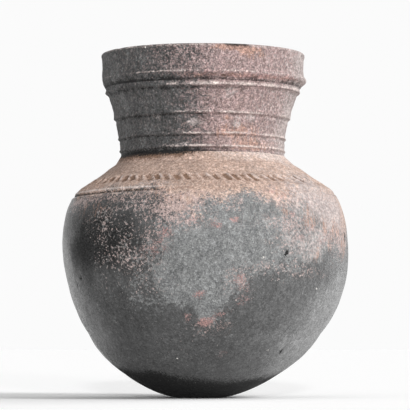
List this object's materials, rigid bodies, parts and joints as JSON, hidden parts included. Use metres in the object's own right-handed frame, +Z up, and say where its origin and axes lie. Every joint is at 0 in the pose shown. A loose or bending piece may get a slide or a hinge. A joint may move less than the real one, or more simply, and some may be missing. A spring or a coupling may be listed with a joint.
{
  "type": "terracotta jar",
  "caption": "Round-bottomed terracotta water jar with a deep belly, a grooved shoulder, a cordoned flaring neck and a collared rim, built up from luted rings of clay.",
  "frame": {"origin": "on the plane the jar stands on, under the middle of its belly", "axes": "+Z up along the belly's axis, +X to the right and +Y away from someone who faces the pictured side"},
  "size_m": [0.251, 0.251, 0.3015],
  "materials": {
    "burnished_black": "burnished, smoke-blackened",
    "burnished_charcoal": "burnished",
    "ash_bloom_grey": "matt, pale ash bloom",
    "tan_clay": "matt, gritty",
    "smoked_clay": "matt, gritty, smoked",
    "smoked_mauve_clay": "matt, gritty, smoked"
  },
  "bodies": {
    "root": {"base_bowl": "burnished_black", "lower_belly_ring": "burnished_black", "middle_belly_ring": "burnished_charcoal", "upper_belly_ring": "ash_bloom_grey", "shoulder_ring": "tan_clay", "neck": "smoked_clay", "rim_collar": "smoked_mauve_clay"}
  },
  "joints": []
}
